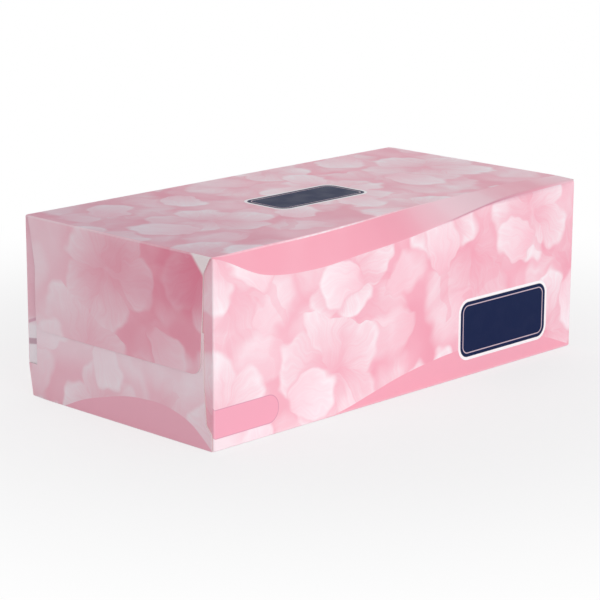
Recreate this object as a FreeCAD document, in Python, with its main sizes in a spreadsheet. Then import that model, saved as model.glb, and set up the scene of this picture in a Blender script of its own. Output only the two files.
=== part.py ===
import FreeCAD, Part
import os

import Sketcher

# Sealed facial tissue carton, in millimetres, +Z up.
# The origin is the middle of the underside. X runs along the box, and the front panel faces -Y.
# The end that shows its glued flaps is at -X, and the +X end is its mirror image.

# Driving dimensions
SIZES = [
    ("box_length", 230.0),
    ("box_width", 115.0),
    ("box_height", 79.0),
    ("board_thickness", 0.45),
    ("long_fold_radius", 0.9),
    ("dust_fold_radius", 0.8),
    ("upper_fold_radius", 0.7),
    ("lower_fold_radius", 0.4),
    ("upper_flap_drop", 48.7),
    ("upper_flap_tip_inset", 6.8),
    ("upper_flap_front_root_inset", 1.0),
    ("upper_flap_front_side_inset", 5.2),
    ("upper_flap_front_shoulder", 7.2),
    ("upper_flap_back_root_inset", 3.0),
    ("upper_flap_back_side_inset", 6.4),
    ("upper_flap_back_shoulder", 21.2),
    ("upper_flap_corner_radius", 5.0),
    ("lower_flap_rise", 48.0),
    ("lower_flap_root_inset", 1.0),
    ("lower_flap_front_side_inset", 5.4),
    ("lower_flap_front_step", 6.0),
    ("lower_flap_front_shoulder", 27.0),
    ("lower_flap_back_side_inset", 6.4),
    ("lower_flap_back_step", 17.6),
    ("lower_flap_back_shoulder", 15.3),
]

# Where the corner facet's two creases run, at even steps from the -X end to the +X end:
# depth on the top panel from the front edge, and drop on the front panel from the top edge
CREASE_DEPTHS = [0.6, 2.0, 2.9, 5.7, 9.4, 11.7, 13.0, 14.6, 11.0]
CREASE_DROPS = [0.3, 11.4, 14.0, 12.2, 10.0, 6.4, 2.5, 1.2, 0.5]

NODE = "carton"
CUT_MARGIN = 5.0
CUT_REACH = 2.0


def make_sheet(doc):
    """Spreadsheet that holds every driving dimension under its own alias."""
    sheet = doc.addObject("Spreadsheet::Sheet", "Sizes")
    rows = list(SIZES)
    for number, (depth, drop) in enumerate(zip(CREASE_DEPTHS, CREASE_DROPS)):
        rows.append((f"crease_depth_{number}", depth))
        rows.append((f"crease_drop_{number}", drop))
    for row, (alias, value) in enumerate(rows, start=1):
        sheet.set(f"A{row}", alias)
        sheet.set(f"B{row}", str(value))
        sheet.setAlias(f"B{row}", alias)
    doc.recompute()
    return sheet


def new_sketch(body, name, role, offset=None):
    """Sketch on one of the body's own origin planes, moved along its normal by an expression."""
    sketch = body.newObject("Sketcher::SketchObject", name)
    plane = next(f for f in body.Origin.OriginFeatures if f.Role == role)
    sketch.AttachmentSupport = [(plane, "")]
    sketch.MapMode = "FlatFace"
    if offset:
        sketch.setExpression("AttachmentOffset.Base.z", offset)
    return sketch


def bind(sketch, name, constraint, expression):
    """Add a named constraint whose value follows an expression."""
    index = sketch.addConstraint(constraint)
    sketch.renameConstraint(index, name)
    sketch.setExpression(f"Constraints.{name}", expression)


def pin_point(sketch, geometry, end, name, across, up):
    """Hold one end of a line at two expressions, measured from the sketch's origin."""
    bind(sketch, f"{name}_across", Sketcher.Constraint("DistanceX", -1, 1, geometry, end, 1.0), across)
    bind(sketch, f"{name}_up", Sketcher.Constraint("DistanceY", -1, 1, geometry, end, 1.0), up)


def add_outline(sketch, corners, prefix="corner"):
    """Closed outline of straight lines. A corner is its rough place and its two expressions."""
    first = sketch.GeometryCount
    count = len(corners)
    for number, (here, across, up) in enumerate(corners):
        there = corners[(number + 1) % count][0]
        sketch.addGeometry(Part.LineSegment(FreeCAD.Vector(*here, 0), FreeCAD.Vector(*there, 0)))
    for number, (here, across, up) in enumerate(corners):
        following = first + (number + 1) % count
        sketch.addConstraint(Sketcher.Constraint("Coincident", first + number, 2, following, 1))
        pin_point(sketch, first + number, 1, f"{prefix}_{number}", across, up)


def add_rounded_rectangle(sketch, rough, width, height, radius, centre_up):
    """Rectangle with four equal round corners, centred across the sketch's origin.

    It is drawn at the rough half width, half height, radius and centre, then held by the expressions.
    """
    right, half_height, bend, middle = rough
    top = middle + half_height
    bottom = middle - half_height
    sides = [((bend - right, bottom), (right - bend, bottom)), ((right, bottom + bend), (right, top - bend)),
             ((right - bend, top), (bend - right, top)), ((-right, top - bend), (-right, bottom + bend))]
    centres = [(right - bend, bottom + bend), (right - bend, top - bend),
               (bend - right, top - bend), (bend - right, bottom + bend)]
    first = sketch.GeometryCount
    for start, end in sides:
        sketch.addGeometry(Part.LineSegment(FreeCAD.Vector(*start, 0), FreeCAD.Vector(*end, 0)))
    quarter = 1.5707963267948966
    for number, centre in enumerate(centres):
        circle = Part.Circle(FreeCAD.Vector(*centre, 0), FreeCAD.Vector(0, 0, 1), bend)
        sketch.addGeometry(Part.ArcOfCircle(circle, (number - 1) * quarter, number * quarter))
    for number in range(4):
        side = first + number
        arc = first + 4 + number
        following = first + (number + 1) % 4
        sketch.addConstraint(Sketcher.Constraint("Tangent", side, 2, arc, 1))
        sketch.addConstraint(Sketcher.Constraint("Tangent", arc, 2, following, 1))
        sketch.addConstraint(Sketcher.Constraint("Horizontal" if number % 2 == 0 else "Vertical", side))
    for number in range(1, 4):
        sketch.addConstraint(Sketcher.Constraint("Equal", first + 4, first + 4 + number))
    bind(sketch, "fold_radius", Sketcher.Constraint("Radius", first + 4, 1.0), radius)
    edges = [("bottom", "DistanceY", first, f"{centre_up} - {height} / 2"),
             ("right", "DistanceX", first + 1, f"{width} / 2"),
             ("top", "DistanceY", first + 2, f"{centre_up} + {height} / 2"),
             ("left", "DistanceX", first + 3, f"-{width} / 2")]
    for name, kind, side, expression in edges:
        bind(sketch, name, Sketcher.Constraint(kind, -1, 1, side, 1, 1.0), expression)


def edges_where(shape, test):
    """Names of the shape's edges whose bounding box passes a test."""
    return [f"Edge{number}" for number, edge in enumerate(shape.Edges, start=1) if test(edge.BoundBox)]


def add_fillet(doc, body, name, test, radius):
    """Round the edges that a test picks out of the body's last feature."""
    doc.recompute()
    base = body.Tip
    fillet = body.newObject("PartDesign::Fillet", name)
    fillet.Base = (base, edges_where(base.Shape, test))
    fillet.setExpression("Radius", radius)
    return fillet


def make_panels(body, sheet):
    """Top, front, bottom and back panels as one block, with round folds between them."""
    section = new_sketch(body, "PanelSection", "YZ_Plane")
    rough = (sheet.box_width / 2, sheet.box_height / 2, sheet.long_fold_radius, sheet.box_height / 2)
    add_rounded_rectangle(section, rough, "Sizes.box_width", "Sizes.box_height",
                          "Sizes.long_fold_radius", "Sizes.box_height / 2")
    pad = body.newObject("PartDesign::Pad", "Panels")
    pad.Profile = section
    pad.Midplane = True
    pad.setExpression("Length", "Sizes.box_length - 4 * Sizes.board_thickness")


def make_dust_folds(body, sheet):
    """Round the four upright folds, where the panels turn into the dust flaps."""
    plan = new_sketch(body, "DustFoldPlan", "XY_Plane")
    rough = (sheet.box_length / 2 - 2 * sheet.board_thickness, sheet.box_width / 2, sheet.dust_fold_radius, 0.0)
    add_rounded_rectangle(plan, rough, "(Sizes.box_length - 4 * Sizes.board_thickness)", "Sizes.box_width",
                          "Sizes.dust_fold_radius", "0 * Sizes.box_width")
    far_x = f"(Sizes.box_length / 2 + {CUT_MARGIN})"
    far_y = f"(Sizes.box_width / 2 + {CUT_MARGIN})"
    add_outline(plan, [((-90, -80), f"-{far_x}", f"-{far_y}"), ((90, -80), far_x, f"-{far_y}"),
                       ((90, 80), far_x, far_y), ((-90, 80), f"-{far_x}", far_y)], "outside")
    pocket = body.newObject("PartDesign::Pocket", "DustFolds")
    pocket.Profile = plan
    pocket.Midplane = True
    pocket.setExpression("Length", f"2 * (Sizes.box_height + {CUT_MARGIN})")


def flap_pad(body, name, corners, thickness):
    """Flap on the -X end: an outline seen from the end, thickened outward from the dust flaps."""
    outline = new_sketch(body, f"{name}Outline", "YZ_Plane",
                         "-Sizes.box_length / 2 + 2 * Sizes.board_thickness")
    add_outline(outline, corners)
    pad = body.newObject("PartDesign::Pad", name)
    pad.Profile = outline
    pad.Reversed = True
    pad.setExpression("Length", thickness)
    return pad


def make_lower_flap(body):
    """Flap folded up from the bottom panel, stepped in at both sides above its root."""
    front = "-Sizes.box_width / 2 + Sizes."
    back = "Sizes.box_width / 2 - Sizes."
    return flap_pad(body, "LowerFlap", [
        ((-45, 0), f"{front}lower_flap_root_inset", "0 * Sizes.box_height"),
        ((45, 0), f"{back}lower_flap_root_inset", "0 * Sizes.box_height"),
        ((46, 17), f"{back}lower_flap_root_inset", "Sizes.lower_flap_back_step"),
        ((42, 15), f"{back}lower_flap_back_side_inset", "Sizes.lower_flap_back_shoulder"),
        ((41, 48), f"{back}lower_flap_back_side_inset", "Sizes.lower_flap_rise"),
        ((-41, 49), f"{front}lower_flap_front_side_inset", "Sizes.lower_flap_rise"),
        ((-42, 27), f"{front}lower_flap_front_side_inset", "Sizes.lower_flap_front_shoulder"),
        ((-46, 6), f"{front}lower_flap_root_inset", "Sizes.lower_flap_front_step"),
    ], "Sizes.board_thickness")


def make_upper_flap(body):
    """Flap folded down from the top panel over the lower flap, glued to it all over."""
    front = "-Sizes.box_width / 2 + Sizes."
    back = "Sizes.box_width / 2 - Sizes."
    down = "Sizes.box_height - Sizes."
    return flap_pad(body, "UpperFlap", [
        ((-46, 79), f"{front}upper_flap_front_root_inset", "1 * Sizes.box_height"),
        ((-42, 72), f"{front}upper_flap_front_side_inset", f"{down}upper_flap_front_shoulder"),
        ((-41, 30), f"{front}upper_flap_tip_inset", f"{down}upper_flap_drop"),
        ((41, 30), f"{back}upper_flap_tip_inset", f"{down}upper_flap_drop"),
        ((42, 57), f"{back}upper_flap_back_side_inset", f"{down}upper_flap_back_shoulder"),
        ((46, 79), f"{back}upper_flap_back_root_inset", "1 * Sizes.box_height"),
    ], "2 * Sizes.board_thickness")


def mirror_end(body, flaps):
    """Repeat the glued flaps on the +X end."""
    plane = next(f for f in body.Origin.OriginFeatures if f.Role == "YZ_Plane")
    mirrored = body.newObject("PartDesign::Mirrored", "OtherEnd")
    mirrored.Originals = flaps
    mirrored.MirrorPlane = (plane, [""])
    body.Tip = mirrored


def round_flaps(doc, body, sheet):
    """Round the lower corners of the upper flaps, and the folds that carry both flaps."""
    half_length = sheet.box_length / 2
    top = sheet.box_height
    tip = top - sheet.upper_flap_drop
    near = 0.01

    def at_tip_corner(box):
        return box.YLength < near and box.ZLength < near and abs(box.ZMin - tip) < near

    def at_end(box):
        return box.XLength < near and abs(abs(box.XMin) - half_length) < near

    def on_lower_skin(box):
        return box.XLength < near and abs(abs(box.XMin) - half_length + sheet.board_thickness) < near

    def at_upper_fold(box):
        return at_end(box) and box.ZLength < near and abs(box.ZMin - top) < near

    def at_lower_fold(box):
        return on_lower_skin(box) and box.ZLength < near and abs(box.ZMin) < near

    add_fillet(doc, body, "UpperFlapCorners", at_tip_corner, "Sizes.upper_flap_corner_radius")
    add_fillet(doc, body, "UpperFolds", at_upper_fold, "Sizes.upper_fold_radius")
    add_fillet(doc, body, "LowerFolds", at_lower_fold, "Sizes.lower_fold_radius")


def make_facet(body):
    """Cut the twisted facet between the top panel's crease and the front panel's crease."""
    steps = len(CREASE_DEPTHS) - 1
    sections = []
    for number in range(steps + 1):
        place = f"Sizes.box_length * ({number} / {steps} - 1 / 2)"
        if number == 0:
            place = f"{place} - {CUT_MARGIN}"
        if number == steps:
            place = f"{place} + {CUT_MARGIN}"
        depth = f"{CUT_REACH} * Sizes.crease_depth_{number}"
        drop = f"{CUT_REACH} * Sizes.crease_drop_{number}"
        over = f"{(CUT_REACH - 1) / 2}"
        corner_across = f"-Sizes.box_width / 2 - {over} * Sizes.crease_depth_{number}"
        corner_up = f"Sizes.box_height + {over} * Sizes.crease_drop_{number}"
        section = new_sketch(body, f"FacetSection{number}", "YZ_Plane", place)
        add_outline(section, [((-60, 82), corner_across, corner_up),
                              ((-60, 70), corner_across, f"{corner_up} - {drop}"),
                              ((-50, 82), f"{corner_across} + {depth}", corner_up)])
        sections.append(section)
    loft = body.newObject("PartDesign::SubtractiveLoft", "Facet")
    loft.Profile = sections[0]
    loft.Sections = sections[1:]


def make_carton(doc, sheet):
    """The whole sealed carton as one solid."""
    body = doc.addObject("PartDesign::Body", "Carton")
    body.Label = NODE
    make_panels(body, sheet)
    make_dust_folds(body, sheet)
    flaps = [make_lower_flap(body), make_upper_flap(body)]
    doc.recompute()
    mirror_end(body, flaps)
    round_flaps(doc, body, sheet)
    make_facet(body)
    body.Placement = FreeCAD.Placement()
    return body


def check(doc, body):
    """Stop if any object failed, or if the carton isn't one valid solid."""
    for thing in doc.Objects:
        if "Invalid" in thing.State or "Error" in thing.State:
            raise RuntimeError(f"{thing.Label} failed: {thing.State}")
    shape = body.Shape
    if shape.isNull() or not shape.isValid() or len(shape.Solids) != 1:
        raise RuntimeError(f"{body.Label} is not one valid solid")


def main():
    doc = FreeCAD.newDocument("TissueCarton")
    sheet = make_sheet(doc)
    body = make_carton(doc, sheet)
    doc.recompute()
    check(doc, body)
    os.makedirs("parts", exist_ok=True)
    body.Shape.exportStep(f"parts/{body.Label}.step")
    box = body.Shape.optimalBoundingBox(False, False)
    print(f"{body.Label}: {box.XLength:.2f} x {box.YLength:.2f} x {box.ZLength:.2f} mm,"
          f" {body.Shape.Volume / 1000:.1f} cm3, {len(body.Shape.Faces)} faces")


main()
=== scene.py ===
import math

import bmesh
import bpy
from mathutils import Matrix, Vector


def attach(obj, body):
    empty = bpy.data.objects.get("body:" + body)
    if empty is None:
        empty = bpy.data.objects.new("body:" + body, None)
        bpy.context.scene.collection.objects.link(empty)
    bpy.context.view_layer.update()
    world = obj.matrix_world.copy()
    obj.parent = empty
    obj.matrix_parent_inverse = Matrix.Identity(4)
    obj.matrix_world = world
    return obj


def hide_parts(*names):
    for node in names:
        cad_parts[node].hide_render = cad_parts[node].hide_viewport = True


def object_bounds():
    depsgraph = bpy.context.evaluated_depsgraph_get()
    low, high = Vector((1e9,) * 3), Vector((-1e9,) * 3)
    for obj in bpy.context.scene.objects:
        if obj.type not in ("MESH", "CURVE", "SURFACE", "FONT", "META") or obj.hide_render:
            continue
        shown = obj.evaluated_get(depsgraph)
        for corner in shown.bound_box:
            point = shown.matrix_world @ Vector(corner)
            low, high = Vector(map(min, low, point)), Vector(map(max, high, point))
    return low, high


# Looks of a sealed carton of facial tissues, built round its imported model.
# Lengths are in millimetres in the part's own frame, apart from those marked as metres.

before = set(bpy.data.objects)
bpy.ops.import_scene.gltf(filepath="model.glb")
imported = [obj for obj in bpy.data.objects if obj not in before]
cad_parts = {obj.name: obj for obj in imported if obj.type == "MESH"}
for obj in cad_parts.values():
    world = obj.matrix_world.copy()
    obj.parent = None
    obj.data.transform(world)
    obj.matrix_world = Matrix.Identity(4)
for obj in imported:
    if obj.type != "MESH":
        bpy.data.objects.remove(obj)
cad_low, cad_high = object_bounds()

MM = 0.001

# Carton sizes, as in the part's source
LENGTH = (cad_high.x - cad_low.x) / MM
WIDTH = (cad_high.y - cad_low.y) / MM
HEIGHT = (cad_high.z - cad_low.z) / MM
BOARD = 0.45
LONG_FOLD = 0.9
DUST_FOLD = 0.8
UPPER_FOLD = 0.7
LOWER_FOLD = 0.4
CREASE_FOLD = 0.7
CREASE_DEPTHS = [0.6, 2.0, 2.9, 5.7, 9.4, 11.7, 13.0, 14.6, 11.0]
CREASE_DROPS = [0.3, 11.4, 14.0, 12.2, 10.0, 6.4, 2.5, 1.2, 0.5]
LEAST_DEPTH = 0.9
LEAST_DROP = 0.5
FACET_REACH = 14.0
CORE_END = LENGTH / 2 - 2 * BOARD

# Flap outlines, as (distance from the fold, inset from the carton's side) along the front and back edges.
# Beside its fold a flap may keep an ear at the back, which ends at a slant from its root to its tip.
UPPER_FLAP = {
    "region": "upper", "fold": UPPER_FOLD, "skin": LENGTH / 2, "reach": 48.7, "corner": 5.0,
    "front": [(0.0, 1.0), (7.2, 5.2), (48.7, 6.8)],
    "back": [(0.0, 3.0), (21.2, 6.4), (48.7, 6.8)],
    "ear_root": -1.0, "ear_tip": 0.0, "beside_ear": 0.0,
}
LOWER_FLAP = {
    "region": "lower", "fold": LOWER_FOLD, "skin": LENGTH / 2 - BOARD, "reach": 48.0, "corner": 0.0,
    "front": [(0.0, 1.0), (7.0, 1.0), (10.5, 4.0), (27.0, 5.4), (48.0, 5.4)],
    "back": [(0.0, 6.4), (48.0, 6.4)],
    "ear_root": 15.3, "ear_tip": 17.6, "beside_ear": 6.4,
}
EAR_INSET = 1.0
SHEET = 0.4
FLAP_LEAN = 0.34
LEAN_IN = (1.5, 8.0)
LEAN_OUT = 24.0
OVERLAP = HEIGHT - LOWER_FLAP["reach"]
FACET_FADE = 7.0

# Small faults of form: the hollow of the panels, and the pushed-in lower left corner at the back
PANEL_SAG = 0.25
DENT_REACH = 12.0
DENT_RISE = 14.0
DENT_ALONG = 0.8
DENT_ACROSS = 1.6

# Along the box, as (place, value): how much rounder the front crease gets, and the marks on the creases,
# the front one a dark line of painted crease shade, the top one worn white with a painted highlight
CREASE_SOFTNESS = [(0.0, 0.0), (165.0, 0.0), (200.0, 2.3), (222.0, 2.3), (230.0, 0.5)]
FRONT_CREASE_PAINTED_SHADE = [(0.0, 0.0), (132.0, 0.0), (148.0, 1.0), (172.0, 1.0), (192.0, 0.45), (205.0, 0.25),
               (230.0, 0.25)]
TOP_RUB_AND_HIGHLIGHT = [(0.0, 0.30), (38.0, 0.42), (58.0, 1.0), (80.0, 1.0), (96.0, 0.62), (118.0, 0.55),
           (130.0, 0.22), (152.0, 0.22), (172.0, 0.0), (230.0, 0.0)]
CREASE_PAINTED_SHADE_LEVEL = 2.0
RUB_AND_HIGHLIGHT_LEVEL = 3.3
CREASE_RUB = 0.2
FOLD_RUB = (0.4, 0.6)
DUST_FOLD_RUB = 0.35

# Mesh steps
SIDE_STEPS = {"front": 16, "facet": 4, "top": 20, "back": 16, "bottom": 10}
ARC_STEPS = 6
WEAR_EDGE = 0.5
STATIONS = 100
FOLD_STATIONS = 6
BEND_STEPS = 6
FLAP_ROWS = 20
FLAP_COLUMNS = 24
CORNER_STEPS = 8
SHARP_ANGLE = 40

# Colours, as sRGB from 0 to 255: the print's, and a few that paint shade, a highlight or a sheen
BAND_PINK = (248, 173, 190)
# The end's band, paler than the front's: its print with a painted sheen in it
END_BAND_PINK_WITH_SHEEN = (250, 188, 203)
FACET_PINK = (248, 166, 184)
DEEP_PINK = (246, 168, 186)
MID_PINK = (253, 197, 210)
PALE_PINK = (255, 224, 232)
PETAL_WHITE = (255, 249, 252)
DEEP_FLAP = (244, 180, 198)
PALE_FLAP = (255, 241, 246)
PALE_DUST_FLAP = (255, 236, 240)
# Painted shade: a grey that darkens the top panel towards its left end
TOP_PAINTED_SHADE = (240, 237, 241)
BARE_CORNER = (252, 238, 238)
PALE_CORNER = (252, 233, 238)
TAB_PINK = (247, 173, 192)
TAB_EDGE = (208, 132, 160)
NAVY = (12, 29, 70)
LABEL_MARGIN = (255, 250, 251)
LABEL_LINE = (214, 190, 202)
STRIP_PINK = (250, 188, 204)
BAR_PINK = (234, 184, 201)
BAR_PURPLE = (212, 178, 190)
RAW_BOARD = (214, 198, 196)
# Worn white along the folds, on the top crease also a painted highlight; then the painted shade of the
# front crease
RUBBED_AND_HIGHLIGHT = (255, 240, 243)
CREASE_PAINTED_SHADE = (204, 129, 153)

# Printed shapes, as centre, half size and corner radius: on the front panel from its lower left corner,
# and on the top panel from its front left corner
FRONT_LABEL = ((180.0, 21.3), (29.5, 12.5), 5.0)
TOP_LABEL = ((112.8, 58.5), (27.0, 12.5), 5.0)
TAB = ((8.0, 11.3), (29.0, 5.9), 5.7)
LABEL_MARGIN_WIDTH = 1.35
LABEL_LINE_INSET = 1.8
LABEL_LINE_HALF = 0.22

# Upper edges of the bands, as (along, up), and how far a painted sheen pales the facet, as (along, share)
FRONT_BAND = [(0.0, -6.0), (40.0, -3.5), (61.0, 0.0), (73.0, 1.2), (92.0, 5.0), (111.0, 8.9),
              (131.5, 11.6), (147.0, 12.8), (160.5, 13.0), (178.0, 12.4), (193.0, 11.2), (202.0, 10.0),
              (212.0, 7.2), (221.5, 3.6), (230.0, 0.4)]
END_BAND = [(0.0, -0.6), (1.5, 0.6), (7.2, 5.1), (13.5, 9.1), (21.7, 11.9), (31.0, 13.4), (39.0, 13.3),
            (49.5, 12.4), (67.5, 8.3), (78.0, 5.2), (87.6, 1.2), (115.0, -12.0)]
BAND_REACH = 20.0
FACET_PAINTED_SHEEN = [(0.0, 0.0), (112.0, 0.0), (128.0, 0.32), (140.0, 0.56), (152.0, 0.80), (164.0, 0.82),
              (176.0, 0.50), (188.0, 0.22), (200.0, 0.12), (212.0, 0.32), (224.0, 0.70), (230.0, 0.75)]

# The two bars on the pale patch of the left end's back strip: height, half height, slope and ink
BARS = [(32.3, 0.7, -0.4, BAR_PINK), (23.9, 1.3, -0.15, BAR_PURPLE)]

# Soft changes in the print, and one of painted shade, from one place to another, some with the share at
# each of them
FRONT_PALE_ALONG = (105.0, 35.0, 0.0, 0.14)
FRONT_CORNER_ALONG = (30.0, 6.0)
FRONT_CORNER_UP = (6.5, 4.5)
# Painted shade, not print: where the top panel greys towards its left end
TOP_PAINTED_SHADE_ALONG = (130.0, 0.0)
DUST_MIDDLE_START = (34.0, 43.0)
DUST_MIDDLE_END = (66.0, 46.0, 0.35, 1.0)
DUST_FOOT_START = (5.0, 11.0)
DUST_FOOT_END = (28.0, 22.0)
PATCH_START = (13.4, 14.4)
PATCH_END = (36.0, 31.0)
FLAP_DEEP_ACROSS = (95.0, 6.0)
FLAP_DEEP_DOWN = (18.0, 32.0, 1.0, 0.35)
FLAP_PALE_ACROSS = (66.0, 108.0, 0.0, 0.35)
FLAP_BARE_CORNER = (12.8, 10.4)
FLAP_BARE_SLOPE = 0.85
LOWER_PALE_UP = (14.0, 27.0, 0.28, 0.62)

# Layers of the printed design, from the lowest up: loose petals, or flowers of five. Each random cell
# holds one, with petals of a length between the two sizes, and the seed moves the cells.
FLOWER_LAYERS = [
    {"petals": 1, "cell": 48.0, "sizes": (38.0, 48.0), "soft": 0.75, "opacity": 0.60, "seed": 3,
     "root": MID_PINK, "tip": PALE_PINK},
    {"petals": 5, "cell": 74.0, "sizes": (36.0, 44.0), "soft": 0.55, "opacity": 0.75, "seed": 8,
     "root": DEEP_PINK, "tip": PETAL_WHITE},
    {"petals": 1, "cell": 40.0, "sizes": (28.0, 36.0), "soft": 0.60, "opacity": 0.65, "seed": 5,
     "root": MID_PINK, "tip": PETAL_WHITE},
    {"petals": 5, "cell": 66.0, "sizes": (27.0, 36.0), "soft": 0.30, "opacity": 0.85, "seed": 13,
     "root": DEEP_PINK, "tip": PETAL_WHITE},
    {"petals": 1, "cell": 56.0, "sizes": (26.0, 34.0), "soft": 0.30, "opacity": 0.90, "seed": 21,
     "root": MID_PINK, "tip": PETAL_WHITE},
]
SEED_SHIFT = (37.3, 61.7)
CELL_RANDOMNESS = 0.6
LOOSE_PETAL_NARROWNESS = 3.4
FLOWER_PETAL_NARROWNESS = 2.5
PETAL_SHADOW = 0.40
SWAY = (9.0, 9.0, 9.0)

# Coated board: roughness between its glossier and duller patches, what wear and dark ink add to it, and
# its faint grain, with a height in metres
ROUGHNESS = (0.38, 0.46)
WORN_ROUGHNESS = 0.15
INK_ROUGHNESS = 0.15
SPECULAR = 0.16
GRAIN_STRENGTH = 0.12
GRAIN_HEIGHT = 0.0002

# The photograph's view: degrees, metres, and millimetres for the lens and its 36 mm sensor
VIEW_AZIMUTH = -45.80
VIEW_ELEVATION = 14.09
VIEW_ROLL = 0.22
VIEW_DISTANCE = 0.993
VIEW_SIDEWAYS = -0.00473
VIEW_UPWARD = -0.00748
VIEW_LENS = 134.36
VIEW_SENSOR = 36.0
VIEW_NEAREST = 0.01

# Lights: name, place, aimed at, width and height in metres, and watts
LIGHTS = [
    ("key", (-0.42, -1.85, 0.45), (0.0, 0.0, 0.04), 1.6, 1.0, 19.0),
    ("rim", (0.80, 0.50, 0.42), (0.05, 0.0, 0.07), 0.6, 0.4, 0.5),
    ("back fill", (0.30, 1.90, 0.27), (0.0, 0.0, 0.04), 1.4, 0.5, 10.0),
]
WORLD_LEVEL = 0.54
MIRRORED_LEVEL = 0.72
WORLD_TINT = (0.975, 0.975, 1.0, 1.0)
WHITE = (1.0, 1.0, 1.0, 1.0)

# Floor: its size and the radii between which it turns to plain white for the camera, in metres
FLOOR_SIZE = 12.0
FLOOR_GREY = (0.86, 0.86, 0.865, 1.0)
FLOOR_FADE = (0.10, 0.34)
FLOOR_GLOW = (0.70, 1.0)
FLOOR_ROUGHNESS = 0.8
FLOOR_SPECULAR = 0.2


# Sums and curves

def linear(colour):
    """sRGB from 0 to 255 as the linear colour that a shader takes."""
    parts = [c / 255 for c in colour]
    return tuple(c / 12.92 if c <= 0.04045 else ((c + 0.055) / 1.055) ** 2.4 for c in parts) + (1.0,)


def spline_value(values, share):
    """Smooth curve through evenly spaced values, read at a share from 0 to 1 of its length."""
    last = len(values) - 1
    place = min(max(share, 0.0), 1.0) * last
    low = min(int(place), last - 1)
    part = place - low
    before = values[max(low - 1, 0)]
    start = values[low]
    end = values[low + 1]
    after = values[min(low + 2, last)]
    leave = (end - before) / 2
    arrive = (after - start) / 2
    return (start * (2 * part ** 3 - 3 * part ** 2 + 1) + leave * (part ** 3 - 2 * part ** 2 + part)
            + end * (3 * part ** 2 - 2 * part ** 3) + arrive * (part ** 3 - part ** 2))


def along(points, place):
    """Straight line graph through (place, value) points."""
    for (start, low), (end, high) in zip(points, points[1:]):
        if place <= end:
            return low + (high - low) * (place - start) / (end - start)
    return points[-1][1]


def eased(value, low, high):
    """Share of the way from low to high, with a soft start and stop."""
    share = min(max((value - low) / (high - low), 0.0), 1.0)
    return share * share * (3 - 2 * share)


# Meshes

def settled(x, y, z):
    """The place of a point once the lower left corner at the back is pushed in."""
    near_end = max(1 - (x + LENGTH / 2) / DENT_REACH, 0.0)
    near_back = max(1 - (WIDTH / 2 - y) / DENT_REACH, 0.0)
    near_floor = max(1 - z / DENT_RISE, 0.0)
    share = near_end * near_back * near_floor
    return x + DENT_ALONG * share, y - DENT_ACROSS * share, z


def print_place(region, x, y, z):
    """Place on the flat, unfolded blank: along the box, then round its girth."""
    place = x + LENGTH / 2
    across = y + WIDTH / 2
    side = 1 if x > 0 else -1
    if region in ("front", "bottom", "facet"):
        return place, z - across
    if region in ("top", "back"):
        return place, HEIGHT + across + HEIGHT - z
    if region == "upper":
        return place + side * (HEIGHT - z), HEIGHT + across
    if region == "lower":
        return place + side * z, -across
    if region == "dust_front":
        return (LENGTH + across if x > 0 else -across), z
    if region == "dust_back":
        away = WIDTH - across
        return (LENGTH + away if x > 0 else -away), 2 * HEIGHT + WIDTH - z
    return y, z


class Mesh:
    """Vertices with their fold marks (worn, painted highlight and shade), and faces with the region that
    each belongs to.
    """

    def __init__(self):
        self.points = []
        self.wear_and_painted_light = []
        self.faces = []
        self.regions = []

    def add_point(self, x, y, z, wear_and_painted_light=0.0):
        """Add a point in millimetres, and return its number."""
        self.points.append(tuple(c * MM for c in settled(x, y, z)))
        self.wear_and_painted_light.append(wear_and_painted_light)
        return len(self.points) - 1

    def add_face(self, corners, region):
        """Add a face through points of these numbers."""
        self.faces.append(tuple(corners))
        self.regions.append(region)

    def build(self, name, materials):
        """Make the Blender object, with a material and print coordinates for each region."""
        mesh = bpy.data.meshes.new(name)
        mesh.from_pydata(self.points, [], self.faces)
        used = [key for key in materials if key in self.regions]
        for key in used:
            mesh.materials.append(materials[key])
        layer = mesh.uv_layers.new(name="print")
        for polygon, region in zip(mesh.polygons, self.regions):
            polygon.material_index = used.index(region)
            polygon.use_smooth = True
            for loop in polygon.loop_indices:
                at = self.points[mesh.loops[loop].vertex_index]
                layer.data[loop].uv = print_place(region, *(c / MM for c in at))
        wear_and_painted_light = mesh.attributes.new("wear_and_painted_light", "FLOAT", "POINT")
        wear_and_painted_light.data.foreach_set("value", self.wear_and_painted_light)
        mesh.update()
        piece = bpy.data.objects.new(name, mesh)
        bpy.context.scene.collection.objects.link(piece)
        return piece


# Carton body: one closed skin of front, facet, top, back and bottom, with the dust flaps as its ends

SIDES = list(SIDE_STEPS)
CORNER_RADII = [LONG_FOLD, CREASE_FOLD, CREASE_FOLD, LONG_FOLD, LONG_FOLD]
FRONT_CREASE = SIDES.index("facet")
TOP_CREASE = SIDES.index("top")


def crease_section(x):
    """Corners (across, up) of the carton's outline at one place along it."""
    share = (x + LENGTH / 2) / LENGTH
    depth = max(spline_value(CREASE_DEPTHS, share), LEAST_DEPTH)
    drop = max(spline_value(CREASE_DROPS, share), LEAST_DROP)
    return [(0.0, 0.0), (0.0, HEIGHT - drop), (depth, HEIGHT), (WIDTH, HEIGHT), (WIDTH, 0.0)]


def corner_arc(before, corner, after, radius):
    """Rounded corner as a list of points, from the side before it to the side after it."""
    into = Vector(corner) - Vector(before)
    out = Vector(after) - Vector(corner)
    reach = min(into.length, out.length) * 0.4
    into.normalize()
    out.normalize()
    turn = math.acos(max(-1.0, min(1.0, into.dot(out))))
    tangent = min(radius * math.tan(turn / 2), reach)
    radius = tangent / math.tan(turn / 2)
    start = Vector(corner) - into * tangent
    inward = Vector((into.y, -into.x))
    centre = start + inward * radius
    points = []
    for step in range(ARC_STEPS + 1):
        angle = turn * step / ARC_STEPS
        points.append(centre - inward * radius * math.cos(angle) + into * radius * math.sin(angle))
    return points


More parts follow.
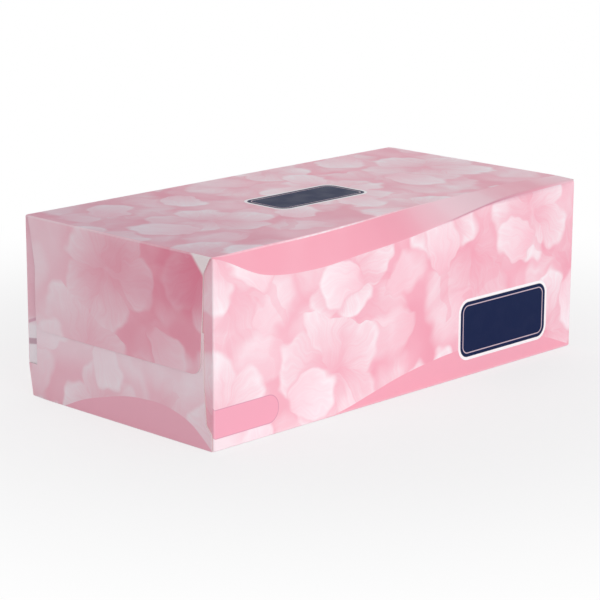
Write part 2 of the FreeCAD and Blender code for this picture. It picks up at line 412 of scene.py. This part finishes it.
def top_crease_rub_and_highlight(place):
    """The top crease's white line, worn board with a painted highlight: along its left half, unevenly,
    and faintly beyond.
    """
    uneven = 0.85 + 0.15 * math.sin(place * 0.37) * math.sin(place * 0.13 + 1.0)
    return uneven * along(TOP_RUB_AND_HIGHLIGHT, place)


def fold_wear_and_painted_light(corner, x, step):
    """Marks across a rounded corner: above nothing where rubbed pale, worn and on the top crease a
    painted highlight; below nothing for the painted shade in the front crease.
    """
    place = x + LENGTH / 2
    share = step / ARC_STEPS
    bend = math.sin(math.pi * share)
    if corner == FRONT_CREASE:
        # painted shade: a dark line in the front crease
        return (CREASE_RUB - CREASE_PAINTED_SHADE_LEVEL * along(FRONT_CREASE_PAINTED_SHADE, place)) * (0.3 + 0.7 * bend ** 3)
    if corner == TOP_CREASE:
        # worn white, with a painted highlight, along the top crease
        return RUB_AND_HIGHLIGHT_LEVEL * top_crease_rub_and_highlight(place) * (1 - share)
    return FOLD_RUB[0] + FOLD_RUB[1] * bend


def side_shares(length, steps):
    """Shares along a flat side, with two narrow steps at each end that keep the folds' marks off it."""
    edge = min(WEAR_EDGE / length, 0.12)
    middle = [2 * edge + (1 - 4 * edge) * step / steps for step in range(1, steps)]
    return [edge, 2 * edge] + middle + [1 - 2 * edge, 1 - edge]


def outline(x):
    """Outline at one place along the carton: (across, up, side, fold mark) points."""
    corners = crease_section(x)
    count = len(corners)
    radii = list(CORNER_RADII)
    radii[FRONT_CREASE] += along(CREASE_SOFTNESS, x + LENGTH / 2)
    arcs = [corner_arc(corners[k - 1], corners[k], corners[(k + 1) % count], radii[k])
            for k in range(count)]
    points = []
    for k, side in enumerate(SIDES):
        for step, point in enumerate(arcs[k]):
            owner = SIDES[k - 1] if step < ARC_STEPS / 2 else side
            points.append((point.x, point.y, owner, fold_wear_and_painted_light(k, x, step)))
        start = arcs[k][-1]
        end = arcs[(k + 1) % count][0]
        for share in side_shares((end - start).length, SIDE_STEPS[side]):
            point = start.lerp(end, share)
            points.append((point.x, point.y, side, 0.0))
    return points


def sagged(x, across, up, side):
    """Panels lie a little hollow between their folds, as thin board does."""
    hollow = PANEL_SAG * math.cos(math.pi * x / LENGTH)
    if side == "front":
        across += hollow * math.sin(math.pi * min(up / (HEIGHT - FACET_REACH), 1.0))
    if side == "back":
        across -= hollow * math.sin(math.pi * up / HEIGHT)
    if side == "top":
        share = (across - FACET_REACH) / (WIDTH - FACET_REACH)
        up -= hollow * math.sin(math.pi * min(max(share, 0.0), 1.0))
    return across, up


def station_places(straight):
    """Places along the carton: even steps, then close steps round the dust folds at both ends."""
    middle = [straight * (2 * step / STATIONS - 1) for step in range(STATIONS + 1)]
    fold = [straight + DUST_FOLD * math.sin(math.pi / 2 * step / FOLD_STATIONS)
            for step in range(1, FOLD_STATIONS + 1)]
    return [-x for x in reversed(fold)] + middle + fold


def add_ring(body, x, straight):
    """One outline of the carton's skin, drawn in where it rounds the dust folds."""
    past = max(abs(x) - straight, 0.0)
    inset = DUST_FOLD - math.sqrt(max(DUST_FOLD ** 2 - past ** 2, 0.0))
    ring = []
    for across, up, side, wear_and_painted_light in outline(x):
        if wear_and_painted_light == 0.0:
            across, up = sagged(x, across, up, side)
        if past > 0 and side in ("front", "back"):
            wear_and_painted_light = max(wear_and_painted_light, DUST_FOLD_RUB * math.sin(math.pi * past / DUST_FOLD))
        y = (across - WIDTH / 2) * (1 - 2 * inset / WIDTH)
        ring.append((body.add_point(x, y, up, wear_and_painted_light), side))
    return ring


def make_body(materials):
    """The carton's skin, closed at both ends by the dust flaps."""
    body = Mesh()
    straight = CORE_END - DUST_FOLD
    rings = [add_ring(body, x, straight) for x in station_places(straight)]
    count = len(rings[0])
    for near, far in zip(rings, rings[1:]):
        for k in range(count):
            after = (k + 1) % count
            body.add_face((near[k][0], near[after][0], far[after][0], far[k][0]), near[k][1])
    for ring, x in ((rings[0], -CORE_END), (rings[-1], CORE_END)):
        middle = body.add_point(x, 0.0, HEIGHT / 2)
        for k in range(count):
            here = ring[k][0]
            after = ring[(k + 1) % count][0]
            across = body.points[here][1] + body.points[after][1]
            body.add_face((middle, here, after), "dust_front" if across < 0 else "dust_back")
    return body.build("carton_panels", materials)


# Upper and lower end flaps: bent sheets of board, glued down one over the other

def facet_fall(side, across):
    """How far the facet lies under the top panel at one end of the carton."""
    corners = crease_section(side * LENGTH / 2)
    depth = corners[TOP_CREASE][0]
    drop = HEIGHT - corners[FRONT_CREASE][1]
    return max(drop * (1 - across / depth), 0.0)


def flap_lean(reach, depth):
    """How far the upper flap sinks onto the dust flaps, between its fold and the lower flap's edge.

    Its outer skin rises softly towards that edge, and its inner skin stays down as far as it.
    """
    rise = eased(reach, LEAN_OUT, OVERLAP) if depth == 0 else float(reach > OVERLAP)
    return FLAP_LEAN * eased(reach, *LEAN_IN) * (1 - rise)


def sheet_place(flap, side, across, reach, depth):
    """Point of a flap: on its panel where reach is below nothing, round the fold, then down the end."""
    upper = flap is UPPER_FLAP
    fold = flap["fold"]
    skin = flap["skin"] - (flap_lean(reach, depth) if upper else 0.0)
    if reach < fold:
        radius = max(fold - depth, 0.0)
        angle = math.pi / 2 * max(reach, 0.0) / fold
        out = skin - fold + radius * math.sin(angle) + min(reach, 0.0)
        down = fold - radius * math.cos(angle)
    else:
        out = skin - depth
        down = reach
    up = down
    if upper:
        up = HEIGHT - down - facet_fall(side, across) * max(1.0 - max(reach, 0.0) / FACET_FADE, 0.0)
    return side * out, across - WIDTH / 2, up


def flap_reaches(flap):
    """Distances from the fold at which a flap has a row of points, from its tongue to its free edge."""
    fold = flap["fold"]
    straight = flap["reach"] - flap["corner"]
    tongue = flap["skin"] - fold - CORE_END
    reaches = [-tongue] + [fold * step / BEND_STEPS for step in range(BEND_STEPS + 1)]
    reaches += [place for place, _ in flap["front"] + flap["back"] if place > fold]
    reaches += [fold + (straight - fold) * step / FLAP_ROWS for step in range(1, FLAP_ROWS + 1)]
    reaches += [straight + flap["corner"] * math.sin(math.pi / 2 * step / CORNER_STEPS)
                for step in range(CORNER_STEPS + 1)]
    return sorted(set(round(value, 4) for value in reaches))


def flap_rows(flap):
    """Rows of (across, reach) points over a flap, from its fold to its free edge."""
    straight = flap["reach"] - flap["corner"]
    rows = []
    for reach in flap_reaches(flap):
        past = max(reach - straight, 0.0)
        cut = flap["corner"] - math.sqrt(max(flap["corner"] ** 2 - past ** 2, 0.0))
        back = flap["beside_ear"] if reach <= flap["ear_root"] else along(flap["back"], reach)
        left = along(flap["front"], reach) + cut
        right = WIDTH - back - cut
        row = [(left + (right - left) * step / FLAP_COLUMNS, reach) for step in range(FLAP_COLUMNS + 1)]
        if reach < flap["ear_root"]:
            row.append((WIDTH - EAR_INSET, reach))
        if reach == flap["ear_root"]:
            row.append((WIDTH - EAR_INSET, flap["ear_tip"]))
        rows.append(row)
    return rows


def flap_skin(sheet, flap, side, depth):
    """Points of a flap's outer skin at no depth, or of its inner skin at the sheet's thickness."""
    fold = flap["fold"]
    skin = []
    for row in flap_rows(flap):
        reach = row[0][1]
        wear_and_painted_light = math.sin(math.pi * reach / fold) if 0 < reach < fold and depth == 0 else 0.0
        skin.append([sheet.add_point(*sheet_place(flap, side, *point, depth), wear_and_painted_light) for point in row])
    return skin


def make_flap(name, flap, side, materials):
    """Closed sheet: its outer skin, its inner skin, and the cut edges between them."""
    sheet = Mesh()
    outer = flap_skin(sheet, flap, side, 0.0)
    inner = flap_skin(sheet, flap, side, SHEET)
    edges = []
    for row in range(len(outer) - 1):
        for column in range(min(len(outer[row]), len(outer[row + 1])) - 1):
            cell = [(row, column), (row, column + 1), (row + 1, column + 1), (row + 1, column)]
            sheet.add_face([outer[r][c] for r, c in cell], flap["region"])
            sheet.add_face([inner[r][c] for r, c in reversed(cell)], "raw")
            edges += zip(cell, cell[1:] + cell[:1])
    shared = set(edges)
    for (r1, c1), (r2, c2) in edges:
        if ((r2, c2), (r1, c1)) not in shared:
            sheet.add_face([outer[r1][c1], inner[r1][c1], inner[r2][c2], outer[r2][c2]], "raw")
    return sheet.build(name, materials)


# Shader trees

class Tree:
    """Calls that add nodes to one shader tree, each value a number, a colour or a socket."""

    def __init__(self, tree):
        self.tree = tree

    def node(self, kind, inputs=None, **settings):
        """Add a node with its settings and input values, and return it."""
        made = self.tree.nodes.new(kind)
        for key, value in settings.items():
            setattr(made, key, value)
        for key, value in (inputs or {}).items():
            self.put(made.inputs[key], value)
        return made

    def put(self, socket, value):
        """Link a socket to an input, or set the input's own value."""
        if isinstance(value, bpy.types.NodeSocket):
            self.tree.links.new(value, socket)
        else:
            socket.default_value = value

    def calc(self, operation, *values, clamp=False):
        """Sum of one or more numbers."""
        made = self.node("ShaderNodeMath", operation=operation, use_clamp=clamp)
        for socket, value in zip(made.inputs, values):
            self.put(socket, value)
        return made.outputs[0]

    def product(self, first, *others):
        """Product of two or more numbers."""
        for other in others:
            first = self.calc("MULTIPLY", first, other)
        return first

    def size_of(self, value):
        """Number without its sign."""
        return self.calc("ABSOLUTE", value)

    def step(self, value, low, high, low_to=0.0, high_to=1.0, kind="SMOOTHSTEP"):
        """Share of the way from low to high, eased, as a number from low_to to high_to."""
        made = self.node("ShaderNodeMapRange", interpolation_type=kind)
        for key, setting in (("Value", value), ("From Min", low), ("From Max", high),
                             ("To Min", low_to), ("To Max", high_to)):
            self.put(made.inputs[key], setting)
        return made.outputs[0]

    def under(self, value, edge, soft):
        """One where the value is under the edge, nothing above it, and eased between."""
        return self.step(value, edge + soft, edge - soft)

    def blend(self, share, low, high, mode="MIX"):
        """Colour between low and high, or another mix of the two."""
        made = self.node("ShaderNodeMix", data_type="RGBA", blend_type=mode)
        self.put(made.inputs[0], share)
        self.put(made.inputs[6], low)
        self.put(made.inputs[7], high)
        return made.outputs[2]

    def vector(self, operation, *values):
        """Sum of one or more vectors."""
        made = self.node("ShaderNodeVectorMath", operation=operation)
        for socket, value in zip(made.inputs, values):
            self.put(socket, value)
        return made.outputs["Value" if operation == "LENGTH" else "Vector"]

    def split(self, value):
        """X, Y and Z of a vector."""
        return self.node("ShaderNodeSeparateXYZ", {"Vector": value}).outputs[:3]

    def join(self, x, y, z=0.0):
        """Vector from its X, Y and Z."""
        return self.node("ShaderNodeCombineXYZ", {"X": x, "Y": y, "Z": z}).outputs[0]

    def noise(self, place, scale, detail=2.0, roughness=0.5):
        """Flat noise, from 0 to 1."""
        inputs = {"Vector": place, "Scale": scale, "Detail": detail, "Roughness": roughness}
        return self.node("ShaderNodeTexNoise", inputs, noise_dimensions="2D").outputs["Fac"]

    def curve(self, value, points, width, height):
        """Smooth line through (along, up) points, each from 0 to the width and the height."""
        made = self.node("ShaderNodeFloatCurve")
        line = made.mapping.curves[0]
        for index, (across, up) in enumerate(points):
            spot = (across / width, up / height)
            if index < 2:
                line.points[index].location = spot
            else:
                line.points.new(*spot)
        made.mapping.update()
        self.put(made.inputs["Value"], self.calc("DIVIDE", value, width))
        return self.calc("MULTIPLY", made.outputs[0], height)


# Printed design: layers of loose petals and five-petal flowers over soft pink clouds

def loose_petal(tree, x, y, size):
    """Place in a petal that lies across the middle of its cell: along it and beside its middle line."""
    return tree.calc("ADD", tree.calc("DIVIDE", x, size), 0.5), tree.calc("DIVIDE", y, size)


def flower_petal(tree, x, y, size, petals, squeeze):
    """Place in one petal of a flower, along it and beside its middle line, and the petal's number."""
    y = tree.product(y, tree.calc("ADD", tree.product(squeeze, 0.5), 1.0))
    far = tree.calc("DIVIDE", tree.vector("LENGTH", tree.join(x, y)), size)
    part = tree.product(tree.calc("ARCTAN2", y, x), petals / (2 * math.pi))
    number = tree.calc("FLOOR", part)
    turn = tree.calc("SUBTRACT", tree.calc("SUBTRACT", part, number), 0.5)
    angle = tree.product(turn, 2 * math.pi / petals)
    out = tree.product(far, tree.calc("COSINE", angle))
    aside = tree.product(far, tree.calc("SINE", angle))
    return out, aside, number


def petal_light(tree, out, aside, shape, tone):
    """How pale a petal is: from its root to its tip, along its veins, and a little more at its rim."""
    vein = tree.calc("DIVIDE", tree.product(aside, 16.0), tree.calc("ADD", out, 0.35))
    grain = tree.noise(tree.join(vein, tree.product(out, 1.6), tone), 1.0, 3.0, 0.6)
    light = tree.calc("ADD", tree.product(out, 0.75), tree.product(tone, 0.25))
    light = tree.calc("ADD", light, tree.product(tree.calc("SUBTRACT", grain, 0.5), 0.42))
    return tree.calc("ADD", light, tree.step(shape, 0.6, 1.0, 0.0, 0.14), clamp=True)


def flower_layer(tree, place, under, layer):
    """One layer of flowers or petals, one to each random cell, painted over the colour under it."""
    moved = tree.vector("ADD", place, tuple(layer["seed"] * shift for shift in SEED_SHIFT) + (0.0,))
    spread = {"Vector": moved, "Scale": 1 / layer["cell"], "Randomness": CELL_RANDOMNESS}
    cells = tree.node("ShaderNodeTexVoronoi", spread, voronoi_dimensions="2D", feature="F1")
    heading, growth, chance = tree.split(cells.outputs["Color"])
    away = tree.vector("SUBTRACT", moved, cells.outputs["Position"])
    turn = {"Vector": away, "Angle": tree.product(heading, 2 * math.pi)}
    turned = tree.node("ShaderNodeVectorRotate", turn, rotation_type="Z_AXIS")
    x, y, _ = tree.split(turned.outputs[0])
    size = tree.step(growth, 0.0, 1.0, *layer["sizes"], kind="LINEAR")
    if layer["petals"] == 1:
        out, aside = loose_petal(tree, x, y, size)
        tone = chance
        narrowness = LOOSE_PETAL_NARROWNESS
    else:
        out, aside, number = flower_petal(tree, x, y, size, layer["petals"], chance)
        tone = tree.calc("FRACT", tree.calc("ADD", tree.product(number, 0.37), chance))
        narrowness = FLOWER_PETAL_NARROWNESS
    inner = tree.calc("MAXIMUM", out, 0.01)
    width = tree.calc("DIVIDE", tree.product(aside, aside, narrowness), inner)
    shape = tree.calc("ADD", width, tree.calc("POWER", inner, 3.0))
    mask = tree.product(tree.step(shape, 1.0, 1.0 - layer["soft"]), tree.step(out, 0.0, 0.12))
    light = petal_light(tree, inner, aside, shape, tone)
    petal = tree.blend(light, linear(layer["root"]), linear(layer["tip"]))
    shadow = tree.product(tree.step(shape, 2.0, 0.9), PETAL_SHADOW * layer["opacity"])
    under = tree.blend(shadow, under, linear(DEEP_PINK))
    return tree.blend(tree.product(mask, layer["opacity"]), under, petal)


def make_print():
    """Node group that gives the printed colour at a place on the blank."""
    group = bpy.data.node_groups.new("Print", "ShaderNodeTree")
    group.interface.new_socket("Place", in_out="INPUT", socket_type="NodeSocketVector")
    group.interface.new_socket("Color", in_out="OUTPUT", socket_type="NodeSocketColor")
    tree = Tree(group)
    place = tree.node("NodeGroupInput").outputs["Place"]
    wobble = tree.node("ShaderNodeTexNoise", {"Vector": place, "Scale": 0.09, "Detail": 1.0},
                       noise_dimensions="2D").outputs["Color"]
    sway = tree.vector("MULTIPLY", tree.vector("SUBTRACT", wobble, (0.5, 0.5, 0.5)), SWAY)
    bent = tree.vector("ADD", place, sway)
    clouds = tree.step(tree.noise(place, 0.022, 2.0), 0.35, 0.65)
    colour = tree.blend(clouds, linear(DEEP_PINK), linear(MID_PINK))
    for layer in FLOWER_LAYERS:
        colour = flower_layer(tree, bent, colour, layer)
    tree.put(tree.node("NodeGroupOutput").inputs["Color"], colour)
    return group


# Painted shapes on the print

def band_over(tree, colour, along_box, up, points, width, ink=BAND_PINK):
    """Plain band between the foot of a panel and a curved line."""
    raised = [(place, height + BAND_REACH) for place, height in points]
    line = tree.calc("SUBTRACT", tree.curve(along_box, raised, width, 2 * BAND_REACH), BAND_REACH)
    inside = tree.under(tree.calc("SUBTRACT", up, line), 0.0, 0.12)
    return tree.blend(inside, colour, linear(ink))


def box_distance(tree, x, y, centre, half, radius):
    """Distance outside a rounded rectangle."""
    across = tree.size_of(tree.calc("SUBTRACT", x, centre[0]))
    across = tree.calc("SUBTRACT", across, half[0] - radius)
    up = tree.size_of(tree.calc("SUBTRACT", y, centre[1]))
    up = tree.calc("SUBTRACT", up, half[1] - radius)
    outside = tree.join(tree.calc("MAXIMUM", across, 0.0), tree.calc("MAXIMUM", up, 0.0))
    inside = tree.calc("MINIMUM", tree.calc("MAXIMUM", across, up), 0.0)
    return tree.calc("SUBTRACT", tree.calc("ADD", tree.vector("LENGTH", outside), inside), radius)


def label_over(tree, colour, x, y, label):
    """Plain navy label with a white margin and a thin line inside."""
    away = box_distance(tree, x, y, *label)
    line = tree.size_of(tree.calc("ADD", away, LABEL_LINE_INSET))
    colour = tree.blend(tree.under(away, LABEL_MARGIN_WIDTH, 0.15), colour, linear(LABEL_MARGIN))
    colour = tree.blend(tree.under(away, 0.0, 0.15), colour, linear(NAVY))
    return tree.blend(tree.under(line, LABEL_LINE_HALF, 0.1), colour, linear(LABEL_LINE))


def tab_over(tree, colour, x, y):
    """Plain tab at the front's left end, with a thin darker edge."""
    away = box_distance(tree, x, y, *TAB)
    colour = tree.blend(tree.under(away, 0.0, 0.2), colour, linear(TAB_PINK))
    return tree.blend(tree.step(tree.size_of(away), 0.30, 0.0, 0.0, 0.7), colour, linear(TAB_EDGE))


def past_the_fold(tree, along_box):
    """Distance down an end flap from the end of the box."""
    return tree.calc("MAXIMUM", tree.product(along_box, -1.0), tree.calc("SUBTRACT", along_box, LENGTH))


# Paints: each gives the colour of one region from its place on the blank

def printed_colour(tree, place, printed):
    """The printed design as it is."""
    node = tree.node("ShaderNodeGroup")
    node.node_tree = printed
    tree.put(node.inputs["Place"], place)
    return node.outputs["Color"]


def plain_colour(colour):
    """Paint of one colour, with soft clouds in it."""
    def paint(tree, place, printed):
        cloud = tree.noise(place, 0.05, 1.0)
        return tree.blend(tree.product(cloud, 0.12), linear(colour), linear(PETAL_WHITE))
    return paint


def front_colour(tree, place, printed):
    """Front panel: paler at its left, with the band, a pale lower left corner, the tab and the label."""
    along_box, up, _ = tree.split(place)
    pale = tree.step(along_box, *FRONT_PALE_ALONG)
    corner = tree.product(tree.step(along_box, *FRONT_CORNER_ALONG), tree.step(up, *FRONT_CORNER_UP))
    colour = tree.blend(pale, printed_colour(tree, place, printed), linear(PETAL_WHITE))
    colour = band_over(tree, colour, along_box, up, FRONT_BAND, LENGTH)
    colour = tree.blend(corner, colour, linear(PALE_CORNER))
    colour = tab_over(tree, colour, along_box, up)
    return label_over(tree, colour, along_box, up, FRONT_LABEL)


def facet_colour(tree, place, printed):
    """Plain pink, paled by a painted sheen in the middle of the carton's right half, and again at its
    end.
    """
    along_box, _, _ = tree.split(place)
    # painted sheen: pale pink mixed in along the facet
    pale = tree.curve(along_box, FACET_PAINTED_SHEEN, LENGTH, 1.0)
    return tree.blend(pale, plain_colour(FACET_PINK)(tree, place, printed), linear(PALE_PINK))


def top_colour(tree, place, printed):
    """Top panel: greyer towards its left end by a painted shade, with its label."""
    along_box, girth, _ = tree.split(place)
    # painted shade, multiplied over the print towards the left end
    painted_shade = tree.step(along_box, *TOP_PAINTED_SHADE_ALONG)
    colour = printed_colour(tree, place, printed)
    colour = tree.blend(painted_shade, colour, linear(TOP_PAINTED_SHADE), mode="MULTIPLY")
    return label_over(tree, colour, along_box, tree.calc("SUBTRACT", girth, HEIGHT), TOP_LABEL)


def back_colour(tree, place, printed):
    """Back panel: the front panel's band, turned round."""
    along_box, girth, _ = tree.split(place)
    up = tree.calc("SUBTRACT", 2 * HEIGHT + WIDTH, girth)
    turned = tree.calc("SUBTRACT", LENGTH, along_box)
    return band_over(tree, printed_colour(tree, place, printed), turned, up, FRONT_BAND, LENGTH)


def bottom_colour(tree, place, printed):
    """Underside: the sheet's print, washed out."""
    return tree.blend(0.45, printed_colour(tree, place, printed), linear(PALE_PINK))


def dust_front_colour(tree, place, printed):
    """Front dust flaps: the print, with a deeper pink halfway up and near the foot."""
    _, up, _ = tree.split(place)
    middle = tree.product(tree.step(up, *DUST_MIDDLE_START), tree.step(up, *DUST_MIDDLE_END))
    foot = tree.product(tree.step(up, *DUST_FOOT_START), tree.step(up, *DUST_FOOT_END), 0.45)
    deeper = tree.product(tree.calc("MAXIMUM", middle, foot), 0.55)
    return tree.blend(deeper, printed_colour(tree, place, printed), linear(DEEP_PINK))


def dust_back_colour(tree, place, printed):
    """Back dust flaps: the print, washed out, and at the left end two bars on a pale patch."""
    along_box, girth, _ = tree.split(place)
    up = tree.calc("SUBTRACT", 2 * HEIGHT + WIDTH, girth)
    left = tree.step(along_box, 0.0, -1.0)
    patch = tree.product(tree.step(up, *PATCH_START), tree.step(up, *PATCH_END, kind="LINEAR"))
    colour = tree.blend(0.4, printed_colour(tree, place, printed), linear(PALE_DUST_FLAP))
    colour = tree.blend(tree.product(left, 0.6), colour, linear(STRIP_PINK))
    colour = tree.blend(tree.product(left, patch, 0.85), colour, linear(PETAL_WHITE))
    for height, half, slope, ink in BARS:
        line = tree.calc("ADD", tree.product(along_box, slope), height)
        inside = tree.under(tree.size_of(tree.calc("SUBTRACT", up, line)), half, 0.4)
        colour = tree.blend(tree.product(inside, left), colour, linear(ink))
    return colour


def upper_colour(tree, place, printed):
    """Upper end flaps: deep pink high at the front and pale at the back, with a bare corner."""
    along_box, girth, _ = tree.split(place)
    across = tree.calc("SUBTRACT", girth, HEIGHT)
    down = past_the_fold(tree, along_box)
    cloud = tree.step(tree.noise(place, 0.03, 2.0), 0.3, 0.62, 0.55, 0.9)
    deep = tree.product(tree.step(across, *FLAP_DEEP_ACROSS), cloud, tree.step(down, *FLAP_DEEP_DOWN))
    corner = tree.calc("ADD", across, tree.product(down, FLAP_BARE_SLOPE))
    colour = tree.blend(0.3, printed_colour(tree, place, printed), linear(MID_PINK))
    colour = tree.blend(tree.step(across, *FLAP_PALE_ACROSS), colour, linear(PETAL_WHITE))
    colour = tree.blend(deep, colour, linear(DEEP_FLAP), mode="MULTIPLY")
    return tree.blend(tree.step(corner, *FLAP_BARE_CORNER), colour, linear(BARE_CORNER))


def lower_colour(tree, place, printed):
    """Lower end flaps: pale under the upper flap's edge, with a curved band at the foot in a pink paled
    by a painted sheen.
    """
    along_box, girth, _ = tree.split(place)
    across = tree.product(girth, -1.0)
    up = past_the_fold(tree, along_box)
    pale = tree.step(up, *LOWER_PALE_UP)
    colour = tree.blend(pale, printed_colour(tree, place, printed), linear(PALE_FLAP))
    # band ink paled by a painted sheen
    return band_over(tree, colour, across, up, END_BAND, WIDTH, ink=END_BAND_PINK_WITH_SHEEN)


PAINTS = {
    "front": front_colour, "facet": facet_colour, "top": top_colour, "back": back_colour,
    "bottom": bottom_colour, "dust_front": dust_front_colour, "dust_back": dust_back_colour,
    "upper": upper_colour, "lower": lower_colour, "raw": plain_colour(RAW_BOARD),
}


def make_material(name, paint, printed):
    """Coated board: its region's paint, fold marks (worn white, painted highlight, painted crease shade),
    uneven gloss and a faint grain.

    Dark ink is a little more matt than the rest.
    """
    material = bpy.data.materials.new(name)
    material.use_nodes = True
    tree = Tree(material.node_tree)
    shader = material.node_tree.nodes["Principled BSDF"]
    place = tree.node("ShaderNodeUVMap", uv_map="print").outputs["UV"]
    wear_and_painted_light = tree.node("ShaderNodeAttribute", attribute_name="wear_and_painted_light").outputs["Fac"]
    patchy = tree.step(tree.noise(place, 0.35, 3.0), 0.3, 0.7, 0.28, 0.42)
    # worn white along the folds, and on the top crease a painted highlight
    rubbed_and_highlight = tree.calc("MULTIPLY", wear_and_painted_light, patchy, clamp=True)
    # painted shade: the dark line in the front crease
    crease_painted_shade = tree.calc("MULTIPLY", wear_and_painted_light, -0.5, clamp=True)
    colour = tree.blend(rubbed_and_highlight, paint(tree, place, printed), linear(RUBBED_AND_HIGHLIGHT))
    colour = tree.blend(crease_painted_shade, colour, linear(CREASE_PAINTED_SHADE))
    tree.put(shader.inputs["Base Color"], colour)
    red = tree.node("ShaderNodeSeparateColor", {"Color": colour}).outputs["Red"]
    rough = tree.step(tree.noise(place, 0.12, 3.0), 0.3, 0.7, *ROUGHNESS)
    rough = tree.calc("ADD", rough, tree.step(red, 0.3, 0.05, 0.0, INK_ROUGHNESS))
    rough = tree.calc("ADD", rough, tree.product(rubbed_and_highlight, WORN_ROUGHNESS))
    tree.put(shader.inputs["Roughness"], rough)
    shader.inputs["Specular IOR Level"].default_value = SPECULAR
    grain = {"Strength": GRAIN_STRENGTH, "Distance": GRAIN_HEIGHT, "Height": tree.noise(place, 1.6, 3.0)}
    tree.put(shader.inputs["Normal"], tree.node("ShaderNodeBump", grain).outputs["Normal"])
    return material


# Stage: floor, world, lights and the photograph's view

def make_floor():
    """Pale floor that turns to plain white for the camera away from the carton."""
    bpy.ops.mesh.primitive_plane_add(size=FLOOR_SIZE, location=(0.0, 0.0, cad_low.z))
    floor = bpy.context.object
    floor.name = "floor"
    material = bpy.data.materials.new("floor")
    material.use_nodes = True
    tree = Tree(material.node_tree)
    shader = material.node_tree.nodes["Principled BSDF"]
    shader.inputs["Base Color"].default_value = FLOOR_GREY
    shader.inputs["Roughness"].default_value = FLOOR_ROUGHNESS
    shader.inputs["Specular IOR Level"].default_value = FLOOR_SPECULAR
    glow = tree.node("ShaderNodeEmission", {"Color": WHITE, "Strength": 1.0})
    place = tree.node("ShaderNodeTexCoord").outputs["Object"]
    far = tree.step(tree.vector("LENGTH", place), *FLOOR_FADE, *FLOOR_GLOW)
    seen = tree.node("ShaderNodeLightPath").outputs["Is Camera Ray"]
    share = tree.product(far, seen)
    mixed = tree.node("ShaderNodeMixShader", {0: share, 1: shader.outputs[0], 2: glow.outputs[0]})
    output = material.node_tree.nodes["Material Output"]
    tree.put(output.inputs["Surface"], mixed.outputs[0])
    floor.data.materials.append(material)


def make_world():
    """Even light from all round, seen as plain white by the camera."""
    world = bpy.data.worlds.new("studio")
    bpy.context.scene.world = world
    world.use_nodes = True
    tree = Tree(world.node_tree)
    path = tree.node("ShaderNodeLightPath")
    seen = tree.product(path.outputs["Is Camera Ray"], 1.0 - WORLD_LEVEL)
    mirrored = tree.product(path.outputs["Is Glossy Ray"], MIRRORED_LEVEL - WORLD_LEVEL)
    strength = tree.calc("ADD", tree.calc("ADD", seen, mirrored), WORLD_LEVEL)
    back = world.node_tree.nodes["Background"]
    tree.put(back.inputs["Color"], tree.blend(path.outputs["Is Camera Ray"], WORLD_TINT, WHITE))
    tree.put(back.inputs["Strength"], strength)


def make_light(name, place, target, width, height, watts):
    """Rectangular area light, aimed at a point."""
    data = bpy.data.lights.new(name, "AREA")
    data.shape = "RECTANGLE"
    data.size = width
    data.size_y = height
    data.energy = watts
    lamp = bpy.data.objects.new(name, data)
    bpy.context.scene.collection.objects.link(lamp)
    lamp.location = place
    lamp.rotation_euler = (Vector(target) - Vector(place)).to_track_quat("-Z", "Y").to_euler()


def make_camera():
    """The photograph's view, which looks past the middle of the carton."""
    azimuth, elevation, roll = (math.radians(a) for a in (VIEW_AZIMUTH, VIEW_ELEVATION, VIEW_ROLL))
    forward = Vector((-math.sin(azimuth) * math.cos(elevation), math.cos(azimuth) * math.cos(elevation),
                      -math.sin(elevation)))
    level = forward.cross(Vector((0, 0, 1))).normalized()
    upright = level.cross(forward)
    right = level * math.cos(roll) + upright * math.sin(roll)
    up = upright * math.cos(roll) - level * math.sin(roll)
    middle = Vector((0.0, 0.0, HEIGHT * MM / 2))
    data = bpy.data.cameras.new("view")
    data.lens = VIEW_LENS
    data.sensor_width = VIEW_SENSOR
    data.clip_start = VIEW_NEAREST
    camera = bpy.data.objects.new("view", data)
    bpy.context.scene.collection.objects.link(camera)
    camera.matrix_world = Matrix((right, up, -forward)).transposed().to_4x4()
    camera.location = middle - forward * VIEW_DISTANCE + right * VIEW_SIDEWAYS + up * VIEW_UPWARD
    bpy.context.scene.camera = camera


# The pieces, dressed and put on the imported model

def close_up(piece):
    """Outward faces, and edges that stay crisp where the board is cut."""
    work = bmesh.new()
    work.from_mesh(piece.data)
    bmesh.ops.recalc_face_normals(work, faces=work.faces)
    work.to_mesh(piece.data)
    work.free()
    piece.data.set_sharp_from_angle(angle=math.radians(SHARP_ANGLE))


def fit(piece):
    """Put a piece on the carton's body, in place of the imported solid."""
    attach(piece, "root")
    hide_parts("carton")


printed = make_print()
materials = {name: make_material(name, paint, printed) for name, paint in PAINTS.items()}
pieces = [
    make_body(materials),
    make_flap("upper_flap_left", UPPER_FLAP, -1, materials),
    make_flap("upper_flap_right", UPPER_FLAP, 1, materials),
    make_flap("lower_flap_left", LOWER_FLAP, -1, materials),
    make_flap("lower_flap_right", LOWER_FLAP, 1, materials),
]
for piece in pieces:
    close_up(piece)
    fit(piece)

make_floor()
make_world()
for light in LIGHTS:
    make_light(*light)
make_camera()
bpy.context.scene.view_settings.view_transform = "Standard"
